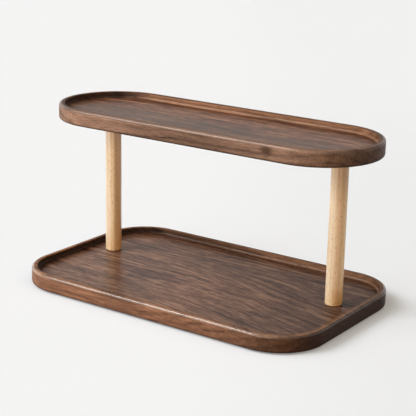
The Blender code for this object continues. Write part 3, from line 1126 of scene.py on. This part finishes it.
class ORGANIZER_OT_studio(bpy.types.Operator):
    """Build the paper floor, the backdrop, the soft lamps and the camera"""

    bl_idname = "organizer.studio"
    bl_label = "Build studio"

    def execute(self, context):
        scene = context.scene
        scene.view_settings.view_transform = "Standard"
        self.lay_floor(scene)
        self.hang_backdrop(scene)
        self.place_lamps(scene)
        self.place_camera(scene)
        return {"FINISHED"}

    def lay_floor(self, scene):
        """A wide disc of paper under the object."""
        mesh = bpy.data.meshes.new("paper_floor")
        bm = bmesh.new()
        bmesh.ops.create_circle(bm, cap_ends=True, segments=PAPER_SEGMENTS, radius=PAPER_RADIUS)
        bm.to_mesh(mesh)
        bm.free()
        mesh.materials.append(paper("Paper, matt", scene.organizer_studio))
        floor = bpy.data.objects.new("paper_floor", mesh)
        scene.collection.objects.link(floor)

    def hang_backdrop(self, scene):
        """A pale backdrop all round, up to a height. Reflections show the dark room above it."""
        world = bpy.data.worlds.new("Paper backdrop")
        scene.world = world
        world.use_nodes = True
        tree = world.node_tree
        up = add(tree, "TexCoord").outputs["Generated"]
        up = add(tree, "SeparateXYZ", {0: up}).outputs["Z"]
        glossy = add(tree, "LightPath").outputs["Is Glossy Ray"]
        inputs = {0: band(tree, up, *BACKDROP_TOP), 1: glossy}
        room = add(tree, "Math", inputs, operation="MULTIPLY").outputs[0]
        inputs = {0: room, 6: BACKDROP_COLOR, 7: ROOM_COLOR}
        backdrop = add(tree, "Mix", inputs, data_type="RGBA").outputs[2]
        fill(tree, tree.nodes["Background"], {"Color": seen_color(tree, backdrop, BACKDROP_BOUNCE)})

    def place_lamps(self, scene):
        """Wide soft lamps, which shine past the upper tray."""
        # The photograph shows no shadow of that tray on the lower tray or on the paper. Its shade on the
        # posts is drawn in the beech.
        blockers = bpy.data.collections.new("lamps shine past")
        blockers.objects.link(scene.objects["walnut_upper_tray"])
        blockers.collection_objects[0].light_linking.link_state = "EXCLUDE"
        for name, (setting, color, azimuth, elevation, width, shows) in LAMPS.items():
            lamp = bpy.data.lights.new(name, "SUN")
            lamp.energy = getattr(scene.organizer_studio, setting) * math.pi
            lamp.color = linear(color)[:3]
            lamp.angle = math.radians(width)
            holder = bpy.data.objects.new(name, lamp)
            holder.rotation_euler = (math.radians(90.0 - elevation), 0.0, math.radians(azimuth))
            holder.visible_glossy = shows
            holder.light_linking.blocker_collection = blockers
            scene.collection.objects.link(holder)

    def place_camera(self, scene):
        """The camera, where the photograph was taken from."""
        camera_data = bpy.data.cameras.new("camera")
        camera_data.lens = CAMERA_LENS
        camera = bpy.data.objects.new("camera", camera_data)
        scene.collection.objects.link(camera)
        tilt = math.radians(90.0 - CAMERA_ELEVATION)
        level = Euler((tilt, 0.0, math.radians(CAMERA_AZIMUTH))).to_matrix()
        turn = level @ Matrix.Rotation(math.radians(CAMERA_ROLL), 3, "Z")
        place = level @ Vector((CAMERA_RIGHT, CAMERA_UP, CAMERA_DISTANCE)) + Vector((0, 0, CAMERA_BASE))
        camera.matrix_world = Matrix.Translation(place) @ turn.to_4x4()
        scene.camera = camera


class ORGANIZER_PT_panel(bpy.types.Panel):
    """Sizes, colours and steps of the organizer"""

    bl_idname = "ORGANIZER_PT_panel"
    bl_label = "Two-tier organizer"
    bl_space_type = "VIEW_3D"
    bl_region_type = "UI"
    bl_category = "Organizer"

    def draw(self, context):
        for group in SETTINGS:
            box = self.layout.box()
            for name in SETTINGS[group].__annotations__:
                box.prop(getattr(context.scene, group), name)
        for operator in OPERATORS:
            self.layout.operator(operator.bl_idname)


SETTINGS = {
    "organizer_trays": TraySettings,
    "organizer_posts": PostSettings,
    "organizer_studio": StudioSettings,
}
OPERATORS = (ORGANIZER_OT_trays, ORGANIZER_OT_posts, ORGANIZER_OT_fittings, ORGANIZER_OT_studio)
CLASSES = (*SETTINGS.values(), *OPERATORS, ORGANIZER_PT_panel)


def register():
    for cls in CLASSES:
        bpy.utils.register_class(cls)
    for name, group in SETTINGS.items():
        setattr(bpy.types.Scene, name, PointerProperty(type=group))


def unregister():
    for name in SETTINGS:
        delattr(bpy.types.Scene, name)
    for cls in reversed(CLASSES):
        bpy.utils.unregister_class(cls)


def main():
    register()
    bpy.ops.organizer.trays()
    bpy.ops.organizer.posts()
    bpy.ops.organizer.fittings()
    bpy.ops.organizer.studio()


if __name__ == "__main__":
    main()
